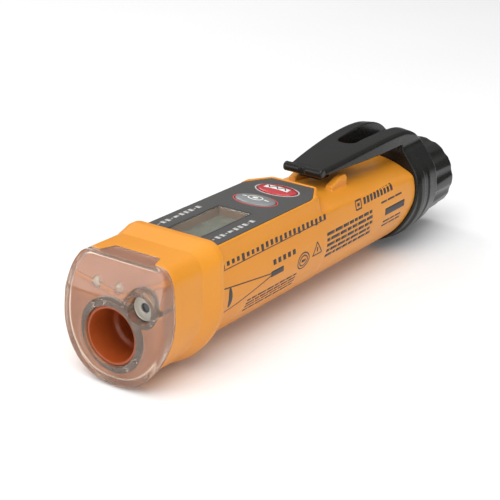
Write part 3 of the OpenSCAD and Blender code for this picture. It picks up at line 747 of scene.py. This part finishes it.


# ---- clip: one moulding, arm and band in one ----
def arc(p, c, q, steps=12):
    """Points on the curve from p to q that bends towards c."""
    t = np.linspace(0, 1, steps + 1)[:, None]
    return (1 - t) ** 2 * np.array(p) + 2 * t * (1 - t) * np.array(c) + t * t * np.array(q)


# level of the arm's side edges and its half width, along its length
CROWN = np.concatenate([arc((TIP_X + 1, 3.2), (97, 6.8), (110, 6.4)),
                        arc((110, 6.4), (122, 6.3), (128.3, 0.2))[1:]])
PLAN = np.concatenate([arc((TIP_X + 1, 6.5), (92, 9.5), (110, 9.4)), [(130, 9.3)]])


def arm_form(x, y, z):
    """The crowned arm, hollow below, with its slot, tip bar and catch."""
    s = np.abs(y)
    w = np.interp(x, *PLAN.T)
    top = np.interp(x, *CROWN.T) + 0.8 * (1 - (s / w) ** 2)
    skin = meet(z - top, s - w, 0.5)
    skin = meet(skin, (s - w + z - top + 0.9) * 0.7071, 0.25)
    rib = ramp(-s, -CLIP_RIB_Y - 1, -CLIP_RIB_Y) * ramp(x, 84, 87)
    low = np.where(x < RING_X, 1.8 - 1.5 * rib, -1.2)
    d = meet(skin, low - z, 0.4)
    hollow = meet(meet(s - w + 2.1, z - top + 2.2, 0.8), between(x, TIP_X + 9, 107), 0.6)
    hollow = meet(hollow, -np.maximum(s - CLIP_RIB_Y, 86 - x), 0.3)
    d = cut(d, hollow, 0.4)
    d = meet(d, between(x, TIP_X + 0.6, CLIP_END), 0.6)
    round_end = rod(x, y, CLIP_SLOT_R, (CLIP_SLOT_X, 0))
    legs = s - CLIP_SLOT_R - 0.9 * ramp(x, CLIP_SLOT_X, 108)
    d = cut(d, np.where(x < CLIP_SLOT_X, round_end, legs), 0.6)
    bar = meet(rod(x, z, TIP_R, (TIP_X, TIP_Z)), s - 7, 0.7)
    notch = box(x, y, z, (TIP_X - 3, TIP_X - 1.1), (-0.9, 0.9), (-2, 6), 0.3)
    catch = box(x, y, z, (TIP_X + 3.5, TIP_X + 9), (-4, 4), (-0.8, 3.4), 0.5)
    return join(join(d, cut(bar, notch, 0.3), 0.6), catch, 0.5)


def ring_form(x, y, z):
    """The band around the tail: a raised front edge that leans, a shallow groove and a taper."""
    t = ramp(x, RING_X, RING_X + 2)
    groove = 0.35 * ramp(x, 117.5, 118.5) * (1 - ramp(x, 120.4, 121.4))
    taper = ramp(x, 118, RING_END)
    w = BODY_HALF_W + 0.9 + 0.7 * t - groove
    w = w - 0.5 * taper
    bottom = -32.6 - 0.7 * t + 1.1 * taper
    d = shield(y, z, (9.4, 0.9), (w - 0.8, -8.2), (w, -13), bottom, 2.0, 2.0)
    sweep = RING_X - 5.0 * ramp(-z, 8, 33)
    d = meet(d, sweep - x, 0.9)
    d = meet(d, x - RING_END, 0.8)
    return cut(d, tube(y, z, x, 1.2) + 1.2 * (1 - ramp(x, RING_X - 0.2, RING_X)), 0.2)


def clip_form(x, y, z):
    """Arm and band in one."""
    return join(arm_form(x, y, z), ring_form(x, y, z), 1.2)


clip = moulded("pocket_clip_moulding", clip_form, (TIP_X - 2.4, -18.8, -34.6), (CLIP_END + 1, 18.8, 8.4),
               0.3, BLACK)
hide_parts("clip_arm", "clip_ring")
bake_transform(clip)


# ---- battery cap ----
def cap_form(x, y, z):
    """The screw cap with its flutes, bore, and the hollow around its middle post."""
    rr = np.hypot(y, z - AXIS_Z)
    front = BODY_END + CAP_GAP
    d = meet(rr - CAP_R + 0.03 * (x - front), between(x, front, TAIL_END), 0.9)
    step = 2 * math.pi / CAP_FLUTES
    turn = np.arctan2(z - AXIS_Z, y)
    turn = np.mod(turn, step) - step / 2
    flute = np.hypot(rr * np.cos(turn) - CAP_R - 2.4, rr * np.sin(turn)) - 3.35
    d = cut(d, np.maximum(flute, front + 3.4 - x + 0.35 * (CAP_R - rr)), 0.5)
    d = cut(d, np.maximum(rr - CAP_BORE_R, x - front - 10.6), 0.3)
    hollow = np.maximum(np.maximum(rr - 11.05, 4.2 - rr), between(x, front + 10, front + 17.3))
    d = cut(d, hollow, 0.3)
    spring_bore = np.maximum(rr - 2.05, between(x, front + 5, front + 13.1))
    return cut(d, spring_bore, 0.1)


cap = moulded("battery_cap_moulding", cap_form, (BODY_END - 0.6, -CAP_R - 0.6, AXIS_Z - CAP_R - 0.6),
              (TAIL_END + 0.6, CAP_R + 0.6, AXIS_Z + CAP_R + 0.6), 0.24, BLACK, "cap")
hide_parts("battery_cap")


# ---- printed marks: thin ink on the surfaces, generic shapes only ----
BAR_STEP = 1.2                      # longest stretch of a bar or a stroke that stays straight
STROKE_STEP = 0.8


def bar(u0, u1, v0, v1):
    """A filled rectangle."""
    us = np.linspace(u0, u1, max(2, int(abs(u1 - u0) / BAR_STEP) + 1))
    return [(u, v0) for u in us], [(u, v1) for u in us]


def stroke(points, width):
    """A line through the points, split finely so that it follows a curved surface."""
    fine = [points[0]]
    for p, q in zip(points, points[1:]):
        n = max(1, math.ceil(math.dist(p, q) / STROKE_STEP))
        fine += [(p[0] + (q[0] - p[0]) * k / n, p[1] + (q[1] - p[1]) * k / n) for k in range(1, n + 1)]
    left, right = [], []
    for i, p in enumerate(fine):
        a, b = Vector(fine[max(i - 1, 0)]), Vector(fine[min(i + 1, len(fine) - 1)])
        along = (b - a).normalized()
        across = Vector((-along.y, along.x)) * width / 2
        left.append(tuple(Vector(p) + across))
        right.append(tuple(Vector(p) - across))
    return left, right


def hoop(u, v, ru, rv, width, sides=40):
    """An oval ring."""
    turn = [2 * math.pi * i / sides for i in range(sides + 1)]
    outer = [(u + ru * math.cos(a), v + rv * math.sin(a)) for a in turn]
    inner = [(u + (ru - width) * math.cos(a), v + (rv - width) * math.sin(a)) for a in turn]
    return outer, inner


HALVINGS = 26


def near_side(u, v):
    """The point of the body's near side at length u and level v, found by halving a range of y."""
    far, near = np.full(len(u), -8.0), np.full(len(u), -20.0)
    for _ in range(HALVINGS):
        y = (far + near) / 2
        out = body_form(u, y, v) > 0
        far, near = np.where(out, far, y), np.where(out, y, near)
    return np.stack([u, near, v], 1)


def printed(name, strips, place, lift, paint, body, thick=0.04):
    """Ink shapes on a surface: place(u, v) gives its points and lift is its outward direction."""
    points, faces = [], []
    across = 4
    for left, right in strips:
        start = len(points)
        for p, q in zip(left, right):
            points += [((1 - k / across) * p[0] + k / across * q[0],
                        (1 - k / across) * p[1] + k / across * q[1]) for k in range(across + 1)]
        for i in range(len(left) - 1):
            for k in range(across):
                a = start + i * (across + 1) + k
                faces.append((a, a + 1, a + across + 2, a + across + 1))
    uv = np.array(points)
    made = piece(name, place(uv[:, 0], uv[:, 1]) + np.array(lift), faces, paint)
    skin = made.modifiers.new("ink", "SOLIDIFY")
    skin.thickness, skin.offset = thick * MM, 0
    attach(made, body)
    return made


def rows_of_dashes(u0, u1, v0, pitch, count, height, seed):
    """Rows of short dashes that stand for small print."""
    random = np.random.default_rng(seed)
    made = []
    for row in range(count):
        u, v = u0, v0 - row * pitch
        while u < u1 - 1:
            length = random.uniform(1.6, 5.0)
            made.append(bar(u, min(u + length, u1), v - height / 2, v + height / 2))
            u += length + 0.55
    return made


def scale_bars():
    """A graduated scale along the side's upper edge, over a thin line."""
    made = []
    for i in range(23):
        u = 1.8 + 2.42 * i
        tall = 1.25 if i % 4 == 0 else 0.8
        centre = -5.5 - 0.016 * u
        made.append(bar(u, u + 1.25, centre - tall, centre + tall))
    return made + [bar(1.8, 56.3, -7.25, -7.0)]


def sighting_diagram():
    """Two rays that open from a small tester towards a spot."""
    rays = [stroke([(24.8, -14.6), (1.2, -11.9)], 0.32), stroke([(24.8, -15.2), (0.8, -20.0)], 0.32)]
    turn = np.linspace(0, math.pi, 20)
    spot = tuple([(4.2 + half_w * math.sin(a), -15.3 + 3.1 * math.cos(a)) for a in turn]
                 for half_w in (0.9, -0.9))
    tester = stroke([(24.6, -14.9), (31.2, -14.9)], 1.7)
    return rays + [spot, tester]


def ring_mark():
    """Two oval rings around a bar."""
    u, v = 42.3, -16.0
    return [hoop(u, v, 3.3, 2.7, 0.42), hoop(u, v, 2.3, 1.8, 0.42), bar(41.2, 43.4, -16.4, -15.6)]


def triangle_mark():
    """A triangle around an upright bar."""
    left, right, peak = (47.4, -16.2), (52.6, -16.2), (50.0, -12.4)
    return [stroke([left, right], 0.4), stroke([left, peak], 0.4), stroke([right, peak], 0.4),
            bar(49.7, 50.3, -15.4, -14.0)]


def square_mark():
    """A square in a square."""
    corners = [(74.2, -9.2), (77.6, -9.2), (77.6, -6.4), (74.2, -6.4)]
    return [stroke(corners + corners[:1], 0.5), bar(75.2, 76.6, -8.3, -7.3)]


side_marks = scale_bars() + sighting_diagram()
side_marks += [bar(26 + 2.6 * i, 27.5 + 2.6 * i, -12.5, -11.0) for i in range(5)]
side_marks += ring_mark() + triangle_mark()
side_marks += rows_of_dashes(14, 40, -19.6, 1.15, 4, 0.55, 3)
side_marks += rows_of_dashes(56, 84, -11.9, 1.75, 5, 0.95, 5)
side_marks += square_mark()
side_marks += [bar(79.2 + 2.2 * i, 80.6 + 2.2 * i, -8.6, -6.5) for i in range(9)]
side_marks += rows_of_dashes(90, 104, -10.9, 1.2, 1, 0.6, 7)
side_marks += [stroke([(92.5, -14.6), (105.5, -14.6)], 2.3)]
side_marks += rows_of_dashes(92, 104, -17.9, 1.4, 2, 0.6, 9)
ink = printed("side_marks", side_marks, near_side, (0, -0.02, 0), INK, "body")


def flat(u, v):
    """The points of the overlay's face."""
    return np.stack([u, v, np.zeros(len(u))], 1)


def label_row(y, bars):
    """Short bars beside the window that stand for its range marks."""
    made, u = [], 4.0
    for length, high in bars:
        made.append(bar(u, u + length, y - high, y + high))
        u += length + 0.75
    return made


# length and half height of each bar
LABEL_BARS = [(1.2, 0.18), (1.5, 0.85), (1.5, 0.85), (0.5, 0.3), (2.2, 0.5), (1.5, 0.85), (1.5, 0.85),
              (1.5, 0.85), (0.5, 0.3), (1.6, 0.85)]
panel_marks = label_row(-LABEL_Y, LABEL_BARS) + label_row(LABEL_Y, LABEL_BARS)
printed("panel_marks", panel_marks, flat, (0, 0, 0.015), SILVER_INK, "body", 0.03)
border = window_outline(0.25, 0.5)
printed("window_border", [stroke(border + border[:1], 0.35)], flat, (0, 0, 0.012), DARK_TRIM, "body", 0.03)
printed("thermometer_outline", [hoop(IR_X, 0, 4.75, 7.35, 0.42, 96)], flat, (0, 0, 0.015),
        RED_INK, "body", 0.03)
printed("voltage_outline", [hoop(NCV_X, 0, 4.85, 7.45, 0.5, 96)], flat, (0, 0, 0.015),
        SILVER_INK, "body", 0.03)


def on_key(at):
    """Places marks on the crown of the button at x = at."""
    def place(u, v):
        return np.stack([at + u, v, dome_z(np.hypot(u / KEY_RX, v / KEY_RY))], 1)
    return place


target = [hoop(0, 0, 1.7, 2.6, 0.42, 48), hoop(0, 0, 0.7, 1.0, 0.69, 32),
          stroke([(0, 3.0), (0, 4.6)], 0.6), stroke([(0, -3.0), (0, -4.6)], 0.6)]
printed("thermometer_symbol", target, on_key(IR_X), (0, 0, 0.015), WHITE_INK, "thermometer_button", 0.03)
printed("voltage_label", [stroke([(0, -4.2), (0, -2), (0, 0), (0, 2), (0, 4.2)], 2.5)], on_key(NCV_X),
        (0, 0, 0.015), WHITE_INK, "voltage_button", 0.03)
wave = [(0.75 * math.sin(2.2 * v), v) for v in np.linspace(-3.4, 3.4, 41)]
printed("voltage_symbol", [stroke(wave, 0.42)], on_key(NCV_X), (0, 0, 0.035), INK, "voltage_button", 0.03)


# ---- stage, light and camera ----
FLOOR_HALF = 4.0                    # metres, as are the places and sizes of the lights
CAMERA_AZIMUTH, CAMERA_ELEVATION, CAMERA_ROLL = (math.radians(a) for a in (-57.34, 21.16, 2.74))
CAMERA_DISTANCE = 0.3804
CAMERA_AIM = SEAM + Vector((10.1, -17.6, -2.6)) * MM
CAMERA_LENS = 100.8
LIGHT_AIM = (0, 0, 0.02)


def floor():
    """A plain sheet of pale paper."""
    half = FLOOR_HALF
    mesh = bpy.data.meshes.new("floor")
    mesh.from_pydata([(-half, -half, 0), (half, -half, 0), (half, half, 0), (-half, half, 0)], [],
                     [(0, 1, 2, 3)])
    mesh.materials.append(surface("floor_paper", (0.88, 0.88, 0.88), (0.91, 0.91, 0.91), (0.6, 0.7), 3, 400,
                                  0.05, 0.05))
    made = bpy.data.objects.new("floor", mesh)
    bpy.context.scene.collection.objects.link(made)


def studio_world():
    """Soft light from all around, brighter from above."""
    world = bpy.data.worlds.new("studio")
    world.use_nodes = True
    tree, add = nodes_of(world)
    height = add("ShaderNodeSeparateXYZ")
    tree.links.new(add("ShaderNodeTexCoord").outputs["Generated"], height.inputs[0])
    fade = colour_ramp(add, (0.15, (0.16, 0.16, 0.165)), (0.95, (1, 1, 1)))
    tree.links.new(height.outputs["Z"], fade.inputs[0])
    tree.links.new(fade.outputs[0], tree.nodes["Background"].inputs["Color"])
    tree.nodes["Background"].inputs["Strength"].default_value = 0.8
    bpy.context.scene.world = world


def area_light(name, at, aim, size, power):
    """A soft light at a point that faces aim."""
    data = bpy.data.lights.new(name, "AREA")
    data.shape = "RECTANGLE"
    data.size, data.size_y = size
    data.energy = power
    lamp = bpy.data.objects.new(name, data)
    bpy.context.scene.collection.objects.link(lamp)
    lamp.location = at
    lamp.rotation_euler = (Vector(aim) - Vector(at)).to_track_quat("-Z", "Y").to_euler()


def photo_camera():
    """The camera, placed by the direction from its aim, its distance and its roll."""
    level_share = math.cos(CAMERA_ELEVATION)
    back = Vector((math.sin(CAMERA_AZIMUTH) * level_share, -math.cos(CAMERA_AZIMUTH) * level_share,
                   math.sin(CAMERA_ELEVATION)))
    level = Vector((math.cos(CAMERA_AZIMUTH), math.sin(CAMERA_AZIMUTH), 0))
    right = math.cos(CAMERA_ROLL) * level + math.sin(CAMERA_ROLL) * back.cross(level)
    data = bpy.data.cameras.new("camera")
    data.lens, data.sensor_width = CAMERA_LENS, 36
    data.clip_start, data.clip_end = 0.01, 20
    camera = bpy.data.objects.new("camera", data)
    bpy.context.scene.collection.objects.link(camera)
    turn = Matrix((right, back.cross(right), back)).transposed().to_4x4()
    camera.matrix_world = Matrix.Translation(CAMERA_AIM + back * CAMERA_DISTANCE) @ turn
    bpy.context.scene.camera = camera


floor()
studio_world()
area_light("key", (-0.45, -0.15, 0.85), LIGHT_AIM, (0.9, 0.9), 8)
area_light("fill", (-0.75, -0.75, 0.30), LIGHT_AIM, (0.6, 0.4), 2.6)
area_light("front", (-0.85, 0.52, 0.33), (-0.08, 0, 0.02), (0.5, 0.4), 2.2)
area_light("back", (0.25, 0.85, 0.75), LIGHT_AIM, (0.6, 0.5), 2.6)
photo_camera()
bpy.context.scene.view_settings.view_transform = "Standard"
